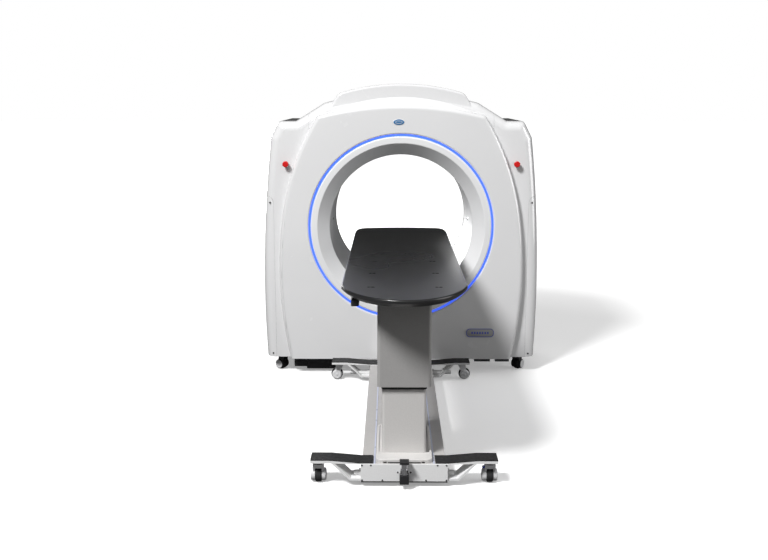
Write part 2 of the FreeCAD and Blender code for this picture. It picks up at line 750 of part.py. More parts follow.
def arm(y0, tube_end):
    """Right-hand arm with its brace and cross tube, front edge at y0."""
    t = arm_thick
    plate = prism_y([(arm_root_half, arm_inner_z), (arm_bend_half, arm_inner_z),
                     (arm_flat_half, arm_outer_z), (arm_half, arm_outer_z),
                     (arm_half, arm_outer_z - t), (arm_flat_half, arm_outer_z - t),
                     (arm_bend_half + 8, deck_top + clearance),
                     (arm_root_half, deck_top + clearance)], y0, y0 + arm_depth)
    b = brace_thick
    wall_x = base_half + clearance
    brace = prism_y([(wall_x, brace_z), (brace_low_half, brace_z), (brace_top_half + 6, arm_outer_z - t),
                     (brace_top_half - 10, arm_outer_z - t - 1), (brace_low_half - 4, brace_z + b),
                     (wall_x, brace_z + b)], y0, y0 + arm_depth)
    tube_y, tube_z = y0 + arm_depth / 2.0, brace_z + brace_thick + cross_tube_r - 1.0
    tube = Part.makeCylinder(cross_tube_r, tube_end - wall_x, V(wall_x, tube_y, tube_z), V(1, 0, 0))
    collar = Part.makeCylinder(cross_collar_r, cross_collar_length, V(wall_x, tube_y, tube_z),
                               V(1, 0, 0))
    return fuse(plate, brace, tube, collar)


def build_base():
    front, rear = table_front, table_rear
    inside = box(-base_half + base_sheet, base_half - base_sheet, front - 1, rear + 1,
                 base_bottom + base_sheet, base_top - base_sheet)
    beam = box(-base_half, base_half, front, rear, base_bottom, deck_top).cut(inside)
    for x in (-strip_at, strip_at):
        beam = beam.cut(box(x - strip_width / 2, x + strip_width / 2, front - 1, rear + 1,
                            base_top + 1, deck_top + 1))
    export("base_beam", beam)
    strips = [box(x - strip_width / 2 + clearance, x + strip_width / 2 - clearance, front, rear,
                  base_top + 1, base_top + 1 + strip_height) for x in (-strip_at, strip_at)]
    export("guide_strips", *strips)
    rails = [box(x - rail_width / 2, x + rail_width / 2, front + rail_inset, rear - rail_inset, deck_top,
                 deck_top + rail_height) for x in (-rail_at, rail_at)]
    export("linear_rails", *rails)

    plates, rubber = [], []
    for y in (front - end_plate_thick, rear):
        span = (-end_plate_half, end_plate_half, y, y + end_plate_thick)
        plates.append(box(*span, end_plate_low, end_plate_top))
        rubber.append(box(*span, sill_low, end_plate_low))
    export("end_plates", *plates)

    holes = [rod_z(kingpin_r + clearance, arm_under - 1, arm_under + kingpin_length + clearance, x, y)
             for _, x, y, _, _ in table_castors]
    arms = []
    for y0, tube_end in ((front, front_tube_end), (rear - arm_depth, rear_tube_end)):
        for turn in (0, 180):
            one = arm(y0, tube_end)
            one.rotate(V(0, y0 + arm_depth / 2.0, 0), Z_AXIS, turn)
            arms.append(one.cut(holes))
    export("stabiliser_arms", *arms)
    for y in (front, rear - arm_depth):
        pad = prism_y([(arm_root_half, arm_inner_z), (arm_bend_half, arm_inner_z),
                       (arm_flat_half, arm_outer_z), (arm_half, arm_outer_z),
                       (arm_half, arm_outer_z + pad_thick), (arm_flat_half, arm_outer_z + pad_thick),
                       (arm_bend_half, arm_inner_z + pad_thick),
                       (arm_root_half, arm_inner_z + pad_thick)], y + 1, y + arm_depth - 1)
        rubber += [pad, mirror_x(pad)]
    export("rubber_strips", *rubber)


def build_lock():
    """Foot-operated floor lock on the front end plate."""
    face = table_front - end_plate_thick
    y = face - lock_half - 1.5
    low = lock_foot_top + 3.0
    top = lock_pedal_z - lock_travel - 1.0
    bracket = box(-lock_barrel_r + 3, lock_barrel_r - 3, y, face, low, top)
    barrel = rod_z(lock_barrel_r, low, top, 0, y)
    body = bracket.fuse(barrel)
    body = body.cut(rod_z(lock_rod_r + clearance, 0, 2 * top, 0, y)).removeSplitter()
    export("floor_lock_body", body)
    rod = rod_z(lock_rod_r, lock_foot_top - 1, lock_pedal_z + 1, 0, y)
    foot = box(-lock_half, lock_half, y - lock_half, y + lock_half, lock_foot_z, lock_foot_top)
    foot = fillet_where(foot, 6.0, lambda e: abs(e.Vertexes[0].Z - e.Vertexes[-1].Z) > 20)
    pedal = box(-lock_half, lock_half, y - 30, y + 20, lock_pedal_z, lock_pedal_z + lock_pedal_thick)
    pedal = fillet_where(pedal, 4.0, lambda e: abs(e.Vertexes[0].Z - e.Vertexes[-1].Z) > 5)
    export("floor_lock_foot", fuse(rod, foot, pedal))


# ---------------------------------------------------------------- travelling column
carriage_front = table_front + carriage_front_gap
column_front = carriage_front + column_set_back
column_middle = column_front + column_depth / 2.0


def rounded_post(half, y0, y1, z0, z1, radius):
    post = box(-half, half, y0, y1, z0, z1)
    return fillet_where(post, radius, lambda e: abs(e.Vertexes[0].Z - e.Vertexes[-1].Z) > 20)


def build_carriage():
    low = deck_top + clearance
    plate_top = low + carriage_thick
    y1 = carriage_front + carriage_length
    tray = rounded_post(carriage_half, carriage_front, y1, low, plate_top + carriage_rim,
                        carriage_corner_r)
    tray = fillet_where(tray, 5.0, lambda e: e.BoundBox.ZMin > plate_top)
    pocket_half = carriage_half - carriage_rim_width
    pocket = box(-pocket_half, pocket_half, column_front + 8, y1 - carriage_rim_width,
                 plate_top, plate_top + 40)
    tray = tray.cut(pocket)
    for x in (-rail_at, rail_at):
        tray = tray.cut(box(x - rail_width / 2 - clearance, x + rail_width / 2 + clearance,
                            carriage_front - 1, y1 + 1, low - 1, deck_top + rail_height + clearance))
    export("carriage", tray)

    foot = rounded_post(column_half, column_front, column_front + column_depth, plate_top,
                        column_top, column_corner_r)
    bore = rounded_post(column_half - column_wall, column_front + column_wall,
                        column_front + column_depth - column_wall, plate_top - 1, column_top + 1,
                        column_corner_r - column_wall)
    tube = foot.cut(bore)
    tube = tube.cut(box(-column_half - 1, column_half + 1, column_front - 1,
                        column_front + 8 + clearance, 0, plate_top + carriage_rim + clearance))
    glides = []
    reach_x = sleeve_half - sleeve_wall - clearance
    for z in (column_top - 130, column_top - 40):
        for x in (-70.0, 50.0):
            glides.append(box(x, x + 20, sleeve_front + sleeve_wall + clearance, column_front,
                              z, z + 36))
            glides.append(box(x, x + 20, column_front + column_depth,
                              sleeve_rear - sleeve_wall - clearance, z, z + 36))
        for y in (column_front + 40, column_front + column_depth - 60):
            glides.append(box(column_half, reach_x, y, y + 20, z, z + 36))
            glides.append(box(-reach_x, -column_half, y, y + 20, z, z + 36))
    export("column_tube", tube)
    export("glide_pads", *glides)
    cylinder = rod_z(actuator_r, plate_top, column_top - 60, 0, column_middle)
    cylinder = cylinder.cut(rod_z(rod_r + clearance, plate_top + 20, column_top, 0, column_middle))
    export("lift_actuator", cylinder)


sleeve_front = column_middle - sleeve_depth / 2.0
sleeve_rear = column_middle + sleeve_depth / 2.0
frame_bottom = top_z - top_thick - frame_rail_height


def build_lift():
    shell = rounded_post(sleeve_half, sleeve_front, sleeve_rear, sleeve_bottom, frame_bottom, 16.0)
    bore = rounded_post(sleeve_half - sleeve_wall, sleeve_front + sleeve_wall, sleeve_rear - sleeve_wall,
                        sleeve_bottom - 1, frame_bottom - 2 * sleeve_wall, 10.0)
    shell = shell.cut(bore)
    rod_low = deck_top + clearance + carriage_thick + 20.0 + lift_down + 5.0
    rod = rod_z(rod_r, rod_low, frame_bottom - sleeve_wall, 0, column_middle)
    export("column_sleeve", fuse(shell, rod))

    y0 = rail_first - frame_rail_overhang
    y1 = rail_first + 2 * rail_pitch + frame_rail_overhang
    w = frame_rail_width / 2.0
    under = top_z - top_thick
    rails = [box(x - w, x + w, y0, y1, frame_bottom, under) for x in (-rail_x, rail_x)]
    bars = [box(-rail_x, rail_x, y, y + 80, frame_bottom, under)
            for y in (sleeve_front + 20, sleeve_rear - 100, y1 - 90)]
    cradle = box(-rail_x, rail_x, sleeve_front, sleeve_rear, frame_bottom, frame_bottom + 8)
    frame = fuse(*(rails + bars + [cradle]))
    fixings, holes = [], []
    for x in (-rail_x, rail_x):
        for row in range(3):
            for side in (-1, 1):
                at = (x + side * fixing_pair, rail_first + row * rail_pitch)
                fixings.append(rod_z(fixing_r, under - 22, top_z - 0.5, *at))
                holes.append(rod_z(fixing_r + clearance, under - 22 - clearance, top_z + 1, *at))
    export("table_frame", frame.cut(holes))
    export("tabletop", tabletop().cut(holes))
    export("tabletop_fixings", *fixings)

    cradle_low = under - 16.0
    hook = box(pendant_x - 8, pendant_x + 8, pendant_y + 20, pendant_y + pendant_length - 20,
               cradle_low, under - clearance)
    body = box(pendant_x - pendant_width / 2, pendant_x + pendant_width / 2, pendant_y,
               pendant_y + pendant_length, cradle_low - pendant_height, cradle_low)
    body = body.makeFillet(5.0, body.Edges)
    export("hand_control", fuse(hook, body))


def tabletop_plan(inset, z):
    """Outline of the board at height z, drawn in by inset: rounded nose, bowed far end."""
    half = top_half - inset
    shoulder_y = top_tip + top_tip_length
    pole_y = (4 * (top_tip + inset) - shoulder_y) / 3.0
    pole_x = top_tip_fullness - inset
    inner, end = top_half - top_far_corner_width, top_far - top_far_bow - inset
    start = end - top_far_corner_length + inset
    corner_pole = end - 12.0
    nose = bezier((-half, shoulder_y, z), (-pole_x, pole_y, z),
                  (pole_x, pole_y, z), (half, shoulder_y, z))
    return Part.Wire([
        nose,
        line((half, shoulder_y, z), (half, start, z)),
        bezier((half, start, z), (half, corner_pole, z), (inner, end, z)),
        arc((inner, end, z), (0, top_far - inset, z), (-inner, end, z)),
        bezier((-inner, end, z), (-half, corner_pole, z), (-half, start, z)),
        line((-half, start, z), (-half, shoulder_y, z)),
    ])


def tabletop():
    """Board with a bevelled underside and a softened top edge."""
    shoulder_y = top_tip + top_tip_length
    rim_z = top_z - top_rim

    def nose_corner(edge):
        return edge.BoundBox.ZLength > 1 and abs(edge.BoundBox.YMax - shoulder_y) < 0.1

    upper = Part.Face(tabletop_plan(0, rim_z)).extrude(V(0, 0, top_rim))
    lower = Part.makeLoft([tabletop_plan(top_inset, top_z - top_thick), tabletop_plan(0, rim_z)],
                          True, True)
    upper = fillet_where(upper, top_nose_corner_r, nose_corner)
    lower = fillet_where(lower, top_nose_corner_r, nose_corner)
    board = fuse(upper, lower)
    return fillet_where(board, top_edge_r, lambda e: abs(e.BoundBox.ZMin - top_z) < 0.01)


# ---------------------------------------------------------------- build
def main():
    os.makedirs(OUT, exist_ok=True)
    build_covers()
    build_bore()
    build_structure()
    build_rotor()
    build_drive()
    build_stops()
    build_castors()
    build_base()
    build_lock()
    build_carriage()
    build_lift()


main()
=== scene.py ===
"""Looks of the mobile CT scanner and its patient table: finishes, small trim, floor, light and camera.

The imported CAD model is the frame; every place below comes from its nodes, in metres.
"""

import json
import math

import bmesh
import bpy
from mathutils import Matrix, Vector


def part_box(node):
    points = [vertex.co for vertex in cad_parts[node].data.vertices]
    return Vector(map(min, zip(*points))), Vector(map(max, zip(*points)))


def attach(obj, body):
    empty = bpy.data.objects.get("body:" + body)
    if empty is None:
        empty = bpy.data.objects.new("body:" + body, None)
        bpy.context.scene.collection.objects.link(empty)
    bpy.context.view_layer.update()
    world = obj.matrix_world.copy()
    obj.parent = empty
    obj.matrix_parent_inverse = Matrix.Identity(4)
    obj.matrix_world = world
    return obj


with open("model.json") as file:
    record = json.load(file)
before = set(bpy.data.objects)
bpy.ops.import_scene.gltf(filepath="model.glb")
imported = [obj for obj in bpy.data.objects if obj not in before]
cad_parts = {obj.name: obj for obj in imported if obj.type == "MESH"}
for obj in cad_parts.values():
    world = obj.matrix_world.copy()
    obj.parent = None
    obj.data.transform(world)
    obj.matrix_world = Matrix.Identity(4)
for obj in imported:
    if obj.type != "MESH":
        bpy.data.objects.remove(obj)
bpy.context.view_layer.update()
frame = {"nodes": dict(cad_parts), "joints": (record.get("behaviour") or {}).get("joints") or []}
NODES = frame["nodes"]
JOINTS = {j["name"]: j for j in frame["joints"]}


# ---------------------------------------------------------------- materials
class Shader:
    """A Principled material with helpers that add its nodes."""

    def __init__(self, name, colour, roughness, metallic=0.0):
        self.mat = bpy.data.materials.new(name)
        self.mat.use_nodes = True
        self.tree = self.mat.node_tree
        self.bsdf = self.tree.nodes["Principled BSDF"]
        self.colour = colour
        self.bsdf.inputs["Base Color"].default_value = (*colour, 1.0)
        self.bsdf.inputs["Roughness"].default_value = roughness
        self.bsdf.inputs["Metallic"].default_value = metallic
        self.roughness = roughness
        self.coords = self.node("ShaderNodeTexCoord").outputs["Object"]
        self.height = None

    def node(self, kind, **values):
        made = self.tree.nodes.new(kind)
        for key, value in values.items():
            setattr(made, key, value)
        return made

    def link(self, a, b):
        self.tree.links.new(a, b)

    def noise(self, scale, detail=3.0, stretch=(1, 1, 1), distortion=0.0):
        """Noise over the object, as a socket from 0 to 1."""
        mapping = self.node("ShaderNodeMapping")
        mapping.inputs["Scale"].default_value = stretch
        self.link(self.coords, mapping.inputs["Vector"])
        tex = self.node("ShaderNodeTexNoise")
        tex.inputs["Scale"].default_value = scale
        tex.inputs["Detail"].default_value = detail
        tex.inputs["Distortion"].default_value = distortion
        self.link(mapping.outputs["Vector"], tex.inputs["Vector"])
        return tex.outputs["Fac"]

    def remap(self, socket, low, high, from_low=0.3, from_high=0.7):
        made = self.node("ShaderNodeMapRange")
        made.inputs["From Min"].default_value = from_low
        made.inputs["From Max"].default_value = from_high
        made.inputs["To Min"].default_value = low
        made.inputs["To Max"].default_value = high
        self.link(socket, made.inputs["Value"])
        return made.outputs["Result"]

    def vary_colour(self, socket, other):
        """Colour runs from the base colour to other as socket goes from 0 to 1."""
        mix = self.node("ShaderNodeMix", data_type="RGBA")
        mix.inputs["A"].default_value = (*self.colour, 1.0)
        mix.inputs["B"].default_value = (*other, 1.0)
        self.link(socket, mix.inputs["Factor"])
        self.link(mix.outputs["Result"], self.bsdf.inputs["Base Color"])
        return self

    def vary_roughness(self, socket, low, high):
        self.link(self.remap(socket, low, high), self.bsdf.inputs["Roughness"])
        return self

    def bump(self, socket, strength, distance):
        """Adds one layer of bump on top of the earlier ones."""
        made = self.node("ShaderNodeBump")
        made.inputs["Strength"].default_value = strength
        made.inputs["Distance"].default_value = distance
        self.link(socket, made.inputs["Height"])
        if self.height is not None:
            self.link(self.height, made.inputs["Normal"])
        self.height = made.outputs["Normal"]
        self.link(self.height, self.bsdf.inputs["Normal"])
        return self

    def coat(self, weight, roughness):
        self.bsdf.inputs["Coat Weight"].default_value = weight
        self.bsdf.inputs["Coat Roughness"].default_value = roughness
        return self


def shade(colour, factor):
    return tuple(min(1.0, c * factor) for c in colour)


COAT_ROUGHNESS, COAT_IOR = 0.06, 1.75


def moulded(name, colour, roughness=0.4, peel=0.02, gloss=0.0):
    """Moulded or sprayed plastic with a faint orange peel, under a clear coat where it has gloss."""
    s = Shader(name, colour, roughness)
    s.coat(gloss, COAT_ROUGHNESS)
    s.bsdf.inputs["Coat IOR"].default_value = COAT_IOR
    s.vary_colour(s.remap(s.noise(1.6, 4.0), 0.0, 1.0), shade(colour, 0.965))
    s.vary_roughness(s.noise(7.0, 4.0), roughness - 0.05, roughness + 0.06)
    s.bump(s.noise(420.0, 2.0), peel, 0.0005)
    return s.mat


def textured(name, colour, roughness=0.6, grain=320.0, depth=0.0006, tone=0.8):
    """Textured plastic or powder coat with a visible fine grain."""
    s = Shader(name, colour, roughness)
    s.vary_colour(s.remap(s.noise(grain * 0.4, 4.0), 0.0, 1.0), shade(colour, tone))
    s.vary_roughness(s.noise(30.0, 3.0), roughness - 0.07, roughness + 0.08)
    s.bump(s.noise(grain, 3.0), 0.35, depth)
    return s.mat


def metal(name, colour, roughness=0.3, stretch=(1, 1, 1), tone=0.8):
    """Machined or anodised metal with fine lines drawn out along the stretch's small axis."""
    s = Shader(name, colour, roughness, 1.0)
    s.vary_colour(s.remap(s.noise(60.0, 4.0, stretch), 0.0, 1.0), shade(colour, tone))
    s.vary_roughness(s.noise(160.0, 3.0, stretch), roughness - 0.07, roughness + 0.1)
    s.bump(s.noise(500.0, 2.0, stretch), 0.12, 0.0003)
    return s.mat


def rubber(name, colour, roughness=0.75):
    s = Shader(name, colour, roughness)
    s.vary_colour(s.remap(s.noise(25.0, 5.0), 0.0, 1.0), shade(colour, 1.5))
    s.vary_roughness(s.noise(60.0, 4.0), roughness - 0.08, roughness + 0.1)
    s.bump(s.noise(700.0, 2.0), 0.3, 0.0004)
    return s.mat


def carbon_board(name):
    """Black carbon laminate: a fine twill under clear lacquer."""
    base = (0.017, 0.017, 0.0175)
    s = Shader(name, base, 0.32)
    wave = s.node("ShaderNodeTexWave", wave_type="BANDS", bands_direction="DIAGONAL")
    wave.inputs["Scale"].default_value = 130.0
    wave.inputs["Distortion"].default_value = 0.0
    s.link(s.coords, wave.inputs["Vector"])
    s.vary_colour(wave.outputs["Fac"], (0.0185, 0.0185, 0.019))
    s.vary_roughness(s.noise(1.3, 1.0), 0.27, 0.32)
    s.bsdf.inputs["Specular IOR Level"].default_value = 0.35
    s.coat(0.35, 0.08)
    return s.mat


def lit_diffuser(name, colour, strength):
    """Lit translucent ring, a little uneven round its length."""
    s = Shader(name, colour, 0.35)
    glow = s.remap(s.noise(3.0, 2.0), strength * 0.92, strength * 1.05)
    s.bsdf.inputs["Emission Color"].default_value = (*colour, 1.0)
    s.link(glow, s.bsdf.inputs["Emission Strength"])
    s.vary_roughness(s.noise(90.0, 2.0), 0.3, 0.42)
    return s.mat


def tread(name, colour):
    """Black rubber mat with fine ribs across the arms."""
    s = Shader(name, colour, 0.7)
    wave = s.node("ShaderNodeTexWave", wave_type="BANDS", bands_direction="X")
    wave.inputs["Scale"].default_value = 60.0
    s.link(s.coords, wave.inputs["Vector"])
    s.bump(wave.outputs["Fac"], 0.25, 0.0006)
    s.bump(s.noise(500.0, 2.0), 0.3, 0.0004)
    s.vary_colour(s.remap(s.noise(18.0, 5.0), 0.0, 1.0), shade(colour, 1.5))
    s.vary_roughness(s.noise(60.0, 3.0), 0.6, 0.8)
    return s.mat


def socket(name):
    """Near-black painted shade, standing for the dark inside a deep screw socket."""
    s = Shader(name, (0.004, 0.004, 0.004), 0.9)
    s.bsdf.inputs["Specular IOR Level"].default_value = 0.05
    s.vary_roughness(s.noise(200.0, 3.0), 0.8, 1.0)
    return s.mat


def plunger(name, black, steel):
    """Black moulded foot and pedal with a bright steel rod between them."""
    s = Shader(name, black, 0.5)
    split = s.node("ShaderNodeSeparateXYZ")
    s.link(s.coords, split.inputs[0])
    foot_top, pedal_low = 0.0745, 0.1335        # heights of the rod's two ends
    above = s.node("ShaderNodeMath", operation="GREATER_THAN")
    s.link(split.outputs["Z"], above.inputs[0])
    above.inputs[1].default_value = foot_top
    below = s.node("ShaderNodeMath", operation="LESS_THAN")
    s.link(split.outputs["Z"], below.inputs[0])
    below.inputs[1].default_value = pedal_low
    rod = s.node("ShaderNodeMath", operation="MULTIPLY")
    s.link(above.outputs["Value"], rod.inputs[0])
    s.link(below.outputs["Value"], rod.inputs[1])
    is_rod = rod.outputs["Value"]
    s.vary_colour(is_rod, steel)
    s.link(is_rod, s.bsdf.inputs["Metallic"])
    s.link(s.remap(is_rod, 0.5, 0.2, 0.0, 1.0), s.bsdf.inputs["Roughness"])
    s.bump(s.noise(400.0, 3.0), 0.2, 0.0004)
    return s.mat


WHITE = (0.80, 0.80, 0.805)
M = {
    "cover": moulded("cover_white", WHITE, 0.22, 0.01, 1.0),
    "trim": moulded("trim_grey", (0.80, 0.803, 0.81), 0.34),
    "liner": moulded("liner_grey", (0.76, 0.763, 0.77), 0.36),
    "light": lit_diffuser("light_blue", (0.06, 0.15, 1.0), 0.8),
    "frame": textured("frame_grey", (0.12, 0.125, 0.13), 0.5, 200.0),
    "steel": metal("ground_steel", (0.55, 0.55, 0.56), 0.32),
    "drum": metal("machined_aluminium", (0.66, 0.67, 0.68), 0.35),
    "pack": textured("pack_grey", (0.35, 0.37, 0.39), 0.45, 200.0),
    "red": moulded("stop_red", (0.62, 0.012, 0.012), 0.32),
    "black": textured("black_plastic", (0.018, 0.018, 0.02), 0.5, 400.0, 0.0004, 1.6),
    "hood": moulded("castor_grey", (0.80, 0.80, 0.81), 0.32),
    "hood_dark": textured("castor_black", (0.03, 0.031, 0.033), 0.42, 400.0, 0.0004, 1.4),
    "tyre": rubber("tyre_black", (0.016, 0.016, 0.017)),
    "belt": rubber("belt_black", (0.02, 0.02, 0.02), 0.8),
    "screw": metal("screw_steel", (0.42, 0.42, 0.43), 0.3),
    "screw_dark": metal("screw_black", (0.09, 0.09, 0.095), 0.4),
    "base": textured("base_grey", (0.48, 0.468, 0.457), 0.5, 380.0, 0.0003, 0.93),
    "column": textured("column_grey", (0.61, 0.596, 0.583), 0.48, 380.0, 0.0003, 0.94),
    # Sleeve: a little darker than the column, and darker still as painted shade for the tabletop's
    # shadow over it.
    "sleeve": textured("sleeve_grey_painted_shade", (0.36, 0.353, 0.348), 0.46, 380.0, 0.0003, 0.94),
    "arm": textured("arm_white", (0.86, 0.86, 0.86), 0.42, 380.0, 0.0003, 0.95),
    "strip": moulded("strip_lavender", (0.58, 0.61, 0.74), 0.3, 0.02, 0.3),
    "pad": tread("pad_black", (0.008, 0.008, 0.0085)),
    # Near-black painted shade for the tabletop's fixings and the rings round them.
    "socket": socket("socket_painted_shade"),
    "board": carbon_board("carbon_black"),
    "table_frame": metal("table_frame_dark", (0.06, 0.06, 0.065), 0.4, (1, 0.02, 1)),
    "lock": metal("lock_steel", (0.66, 0.66, 0.68), 0.22, (1, 1, 0.05)),
    "lock_foot": plunger("lock_black_and_steel", (0.018, 0.018, 0.02), (0.66, 0.66, 0.68)),
    "rim": moulded("badge_rim", (0.78, 0.78, 0.77), 0.3),
    "badge": moulded("badge_blue", (0.05, 0.17, 0.36), 0.25),
    "plate": moulded("plate_grey", (0.42, 0.42, 0.42), 0.45),
    "outline": moulded("plate_blue", (0.10, 0.13, 0.55), 0.4),
    "glass": moulded("window_dark", (0.02, 0.02, 0.025), 0.12),
    "tab": moulded("tab_blue", (0.02, 0.05, 0.42), 0.4),
    # Black rubber of the bore gaskets, also used for black patches that are painted shade.
    "gasket": rubber("gasket_black_and_painted_shade", (0.02, 0.02, 0.02), 0.8),
}

FINISH = {
    "cover": ["front_cover", "rear_cover", "top_cover", "left_side_cover", "right_side_cover",
              "service_panels"],
    "trim": ["front_bore_trim", "rear_bore_trim"],
    "liner": ["bore_liner"],
    "light": ["light_ring"],
    "frame": ["gantry_frame"],
    "steel": ["bearing_ring", "linear_rails"],
    "drum": ["rotor_drum", "collimator", "motor_pulley"],
    "pack": ["xray_tube", "detector_array", "tube_supply_packs", "electronics_cabinets",
             "drive_motor"],
    "red": ["left_stop_button", "right_stop_button"],
    "black": ["slip_ring", "stop_collars", "battery_box", "glide_pads", "hand_control"],
    # The tabletop's fixings are painted near-black: painted shade of their sockets.
    "socket": ["tabletop_fixings"],
    "lock_foot": ["floor_lock_foot"],
    "belt": ["drive_belt"],
    "screw_dark": ["panel_screws"],
    "base": ["base_beam"],
    "column": ["carriage", "column_tube"],
    "sleeve": ["column_sleeve"],
    "arm": ["end_plates", "stabiliser_arms"],
    "strip": ["guide_strips"],
    "pad": ["rubber_strips"],
    "board": ["tabletop"],
    "table_frame": ["table_frame"],
    "lock": ["floor_lock_body", "lift_actuator"],
}


def paint(obj, key):
    obj.data.materials.clear()
    obj.data.materials.append(M[key])


def smooth(obj, degrees=30.0):
    """Smooth shading that keeps edges sharper than this angle."""
    for polygon in obj.data.polygons:
        polygon.use_smooth = True
    obj.data.set_sharp_from_angle(angle=math.radians(degrees))


def finish_nodes():
    for key, names in FINISH.items():
        for name in names:
            paint(NODES[name], key)
    for name, obj in NODES.items():
        if name.endswith("_castor"):
            paint(obj, "hood_dark" if name.startswith("gantry") else "hood")
        if name.endswith("_wheel"):
            paint(obj, "tyre")


finish_nodes()


# ---------------------------------------------------------------- mesh helpers
X_AXIS, Y_AXIS, Z_AXIS = Vector((1, 0, 0)), Vector((0, 1, 0)), Vector((0, 0, 1))
MM = 0.001


def loft(bm, rings, start=False, end=True):
    """Skin over rings of points, closed at the ends that are asked for."""
    rows = [[bm.verts.new(point) for point in ring] for ring in rings]
    for a, b in zip(rows, rows[1:]):
        count = len(a)
        for i in range(count):
            j = (i + 1) % count
            bm.faces.new((a[i], a[j], b[j], b[i]))
    if start:
        bm.faces.new(list(reversed(rows[0])))
    if end:
        bm.faces.new(rows[-1])


def placed(outline, at, u, v, n, height):
    return [at + u * x + v * y + n * height for x, y in outline]


def rounded(width, height, radius, inset=0.0, steps=6):
    """Outline of a rectangle with round corners, drawn in by inset."""
    w, h, r = width / 2 - inset, height / 2 - inset, max(radius - inset, 0.0001)
    outline = []
    corners = ((w - r, h - r, 0), (r - w, h - r, 90), (r - w, r - h, 180), (w - r, r - h, 270))
    for cx, cy, start in corners:
        for k in range(steps + 1):
            a = math.radians(start + 90.0 * k / steps)
            outline.append((cx + r * math.cos(a), cy + r * math.sin(a)))
    return outline


def oval(width, height, inset=0.0, steps=48):
    turns = [2 * math.pi * k / steps for k in range(steps)]
    return [((width / 2 - inset) * math.cos(a), (height / 2 - inset) * math.sin(a)) for a in turns]


def plaque(bm, outline, at, u, v, n, depth, edge):
    """Raised plate with a softened rim; outline is a function of the inset."""
    rings = [placed(outline(0.0), at, u, v, n, -0.5 * MM),
             placed(outline(0.0), at, u, v, n, depth - edge),
             placed(outline(0.3 * edge), at, u, v, n, depth - 0.3 * edge),
             placed(outline(edge), at, u, v, n, depth)]
    loft(bm, rings, start=True)


def frame_ring(bm, outline, width, at, u, v, n, depth):
    """Flat raised ring that follows an outline."""
    rings = [placed(outline(0.0), at, u, v, n, 0.0),
             placed(outline(0.0), at, u, v, n, depth * 0.7),
             placed(outline(0.2 * width), at, u, v, n, depth),
             placed(outline(0.8 * width), at, u, v, n, depth),
             placed(outline(width), at, u, v, n, depth * 0.7),
             placed(outline(width), at, u, v, n, 0.0)]
    loft(bm, rings, end=False)


def cross_axes(axis):
    """Two unit vectors square to axis and to each other."""
    other = Z_AXIS if abs(axis.z) < 0.9 else X_AXIS
    u = axis.cross(other).normalized()
    return u, axis.cross(u)


def lathe(bm, profile, at, axis, steps=32, start=False, end=True):
    """Turned shape: profile is (radius, height along axis) pairs."""
    u, v = cross_axes(axis)
    rings = [placed(oval(2 * r, 2 * r, steps=steps), at, u, v, axis, h) for r, h in profile]
    loft(bm, rings, start, end)


def screw(bm, at, axis, r):
    """Low button head with a hexagon socket."""
    head = [(r, 0.0), (r, 0.25 * r), (0.82 * r, 0.45 * r), (0.45 * r, 0.52 * r)]
    lathe(bm, head, at, axis, 20, end=False)
    lathe(bm, [(0.45 * r, 0.52 * r), (0.42 * r, 0.15 * r)], at, axis, 6)


def piece(name, bm, key, body, degrees=35.0):
    bmesh.ops.recalc_face_normals(bm, faces=bm.faces)
    mesh = bpy.data.meshes.new(name)
    bm.to_mesh(mesh)
    bm.free()
    obj = bpy.data.objects.new(name, mesh)
    bpy.context.scene.collection.objects.link(obj)
    smooth(obj, degrees)
    paint(obj, key)
    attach(obj, body)
    return obj


# ---------------------------------------------------------------- gantry trim
FACE_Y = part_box("front_cover")[0].y
BORE = Vector(JOINTS["rotor_spin"]["pos_m"])
TO_FRONT = -Y_AXIS

BADGE_X, BADGE_OVER_BORE = -0.016, 0.6825
BADGE_RIM, BADGE_FACE, BADGE_LINE = (0.076, 0.042), (0.070, 0.036), (0.046, 0.019)
PLATE_X, PLATE_BELOW_BORE = 0.530, 0.7073
PLATE = (0.185, 0.060, 0.024)        # width, height, corner radius
BARS, BAR_PITCH, BAR = 7, 0.0175, (0.0105, 0.015, 0.002)
LINER_R = 0.474
WINDOW_RIM, WINDOW = (0.084, 0.026, 0.013), (0.068, 0.014, 0.007)


def add_badge():
    """Blank oval badge over the bore."""
    at = Vector((BADGE_X, FACE_Y, BORE.z + BADGE_OVER_BORE))
    bm = bmesh.new()
    plaque(bm, lambda i: oval(*BADGE_RIM, i), at, X_AXIS, Z_AXIS, TO_FRONT, 1.2 * MM, 0.6 * MM)
    piece("badge_rim", bm, "rim", "gantry")
    bm = bmesh.new()
    plaque(bm, lambda i: oval(*BADGE_FACE, i), at, X_AXIS, Z_AXIS, TO_FRONT, 2.6 * MM, 1.2 * MM)
    piece("badge_face", bm, "badge", "gantry")
    bm = bmesh.new()
    frame_ring(bm, lambda i: oval(*BADGE_LINE, i), 2.2 * MM, at + TO_FRONT * 2.5 * MM,
               X_AXIS, Z_AXIS, TO_FRONT, 0.4 * MM)
    piece("badge_line", bm, "rim", "gantry")


def add_name_plate():
    """Blank name plate with an outline and a row of plain bars, low on the right."""
    at = Vector((PLATE_X, FACE_Y, BORE.z - PLATE_BELOW_BORE))
    bm = bmesh.new()
    plaque(bm, lambda i: rounded(*PLATE, i), at, X_AXIS, Z_AXIS, TO_FRONT, 2.0 * MM, 1.0 * MM)
    piece("name_plate", bm, "plate", "gantry")
    bm = bmesh.new()
    frame_ring(bm, lambda i: rounded(*PLATE, 1.0 * MM + i), 4.0 * MM, at + TO_FRONT * 1.8 * MM,
               X_AXIS, Z_AXIS, TO_FRONT, 1.0 * MM)
    for k in range(BARS):
        mark = at + TO_FRONT * 1.9 * MM + X_AXIS * (k - BARS // 2) * BAR_PITCH
        plaque(bm, lambda i: rounded(*BAR, i), mark, X_AXIS, Z_AXIS, TO_FRONT, 0.6 * MM, 0.3 * MM)
    piece("name_plate_lines", bm, "outline", "gantry")


